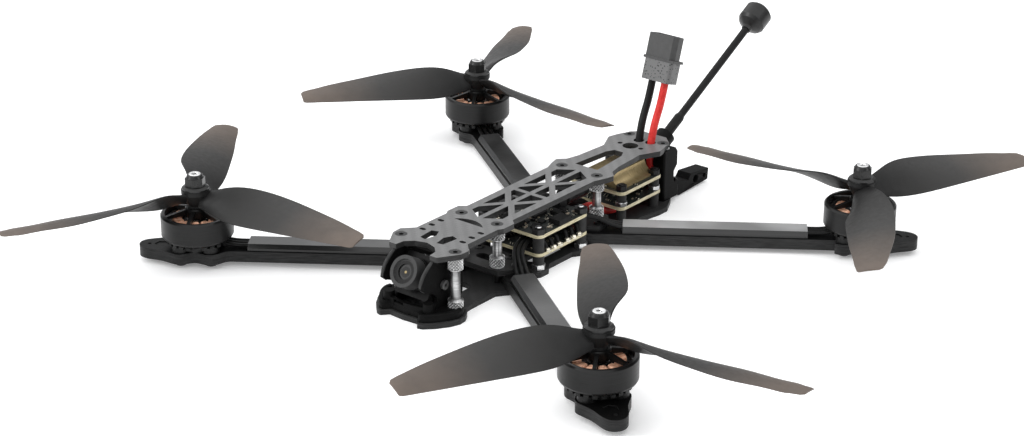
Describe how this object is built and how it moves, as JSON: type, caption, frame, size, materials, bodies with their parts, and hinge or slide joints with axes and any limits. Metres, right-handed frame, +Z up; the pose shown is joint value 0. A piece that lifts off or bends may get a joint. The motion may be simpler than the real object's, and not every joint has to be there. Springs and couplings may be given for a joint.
{
  "type": "racing drone",
  "caption": "Long-range first-person-view racing quadcopter with spinning rotors, tilting nose camera, rear antenna and standing battery lead.",
  "frame": {"origin": "underside of the bottom plate, at the middle of the four motor axes", "axes": "+Z up; the camera nose points towards -Y; +X is the drone's left-hand side when looking back from the nose, that is to the right when looking along +Y"},
  "size_m": [0.3675, 0.3657, 0.0785],
  "materials": {
    "carbon_plate": "satin carbon fibre plate",
    "carbon_arm": "satin carbon fibre plate",
    "motor_bell": "satin black anodised",
    "motor_base": "satin black anodised",
    "magnet": "nickel plated",
    "steel": "turned steel",
    "nut": "black anodised aluminium",
    "propeller": "smoked glossy polycarbonate",
    "standoff": "knurled aluminium",
    "black_screw": "black oxide steel",
    "spacer_rubber": "soft rubber",
    "circuit_board": "black solder mask over tan board edge",
    "chip": "moulded chip packages and tinned pads",
    "gold_sink": "gold anodised heat sink",
    "capacitor": "shrink-sleeved can",
    "stator": "black coated laminations",
    "copper": "enamelled copper wire",
    "soft_guard": "printed flexible plastic",
    "camera_case": "fine matte moulding",
    "lens_barrel": "matte lens ring",
    "lens_glass": "coated lens",
    "antenna_sleeve": "heat-shrink sleeve",
    "antenna_cap": "fine matte moulding",
    "wire_sleeve": "glossy shrink sleeve",
    "black_wire": "silicone insulation",
    "red_wire": "silicone insulation",
    "plug": "moulded nylon"
  },
  "bodies": {
    "frame": {"antenna_bracket": "soft_guard", "antenna_cap": "antenna_cap", "antenna_stem": "antenna_sleeve", "arm_front_left": "carbon_arm", "arm_front_right": "carbon_arm", "arm_rear_left": "carbon_arm", "arm_rear_right": "carbon_arm", "battery_inner_black": "black_wire", "battery_inner_red": "red_wire", "battery_lead_black": "black_wire", "battery_lead_red": "red_wire", "battery_plug": "plug", "board_parts": "chip", "board_screws": "black_screw", "board_spacers": "spacer_rubber", "bottom_plate": "carbon_plate", "camera_guard": "soft_guard", "capacitor": "capacitor", "esc_board": "circuit_board", "flight_board": "circuit_board", "frame_screws": "black_screw", "front_standoffs": "standoff", "middle_plates": "carbon_plate", "motor_bases": "motor_base", "motor_bearings": "steel", "motor_screws": "black_screw", "motor_wires": "black_wire", "rear_mount": "soft_guard", "short_standoffs": "standoff", "stator_cores": "stator", "top_plate": "carbon_plate", "video_amp_board": "circuit_board", "video_board": "circuit_board", "video_heatsink": "gold_sink", "windings": "copper", "wire_sleeves": "wire_sleeve"},
    "camera": {"camera_body": "camera_case", "camera_lens": "lens_barrel", "camera_lens_glass": "lens_glass", "camera_screws": "steel"},
    "rotor_front_left": {"bell_front_left": "motor_bell", "magnets_front_left": "magnet", "shaft_front_left": "steel", "prop_nut_front_left": "nut", "propeller_front_left": "propeller"},
    "rotor_front_right": {"bell_front_right": "motor_bell", "magnets_front_right": "magnet", "shaft_front_right": "steel", "prop_nut_front_right": "nut", "propeller_front_right": "propeller"},
    "rotor_rear_left": {"bell_rear_left": "motor_bell", "magnets_rear_left": "magnet", "shaft_rear_left": "steel", "prop_nut_rear_left": "nut", "propeller_rear_left": "propeller"},
    "rotor_rear_right": {"bell_rear_right": "motor_bell", "magnets_rear_right": "magnet", "shaft_rear_right": "steel", "prop_nut_rear_right": "nut", "propeller_rear_right": "propeller"}
  },
  "joints": [
    {"name": "spin_front_left", "type": "hinge", "parent": "frame", "child": "rotor_front_left", "pos_m": [-0.1114, -0.0973, 0], "axis": [0, 0, 1], "continuous": true},
    {"name": "spin_front_right", "type": "hinge", "parent": "frame", "child": "rotor_front_right", "pos_m": [0.1114, -0.0973, 0], "axis": [0, 0, 1], "continuous": true},
    {"name": "spin_rear_left", "type": "hinge", "parent": "frame", "child": "rotor_rear_left", "pos_m": [-0.1114, 0.0973, 0], "axis": [0, 0, 1], "continuous": true},
    {"name": "spin_rear_right", "type": "hinge", "parent": "frame", "child": "rotor_rear_right", "pos_m": [0.1114, 0.0973, 0], "axis": [0, 0, 1], "continuous": true},
    {"name": "camera_tilt", "type": "hinge", "parent": "frame", "child": "camera", "pos_m": [0, -0.0733, 0.0152], "axis": [1, 0, 0], "range_deg": [-15, 30]}
  ]
}
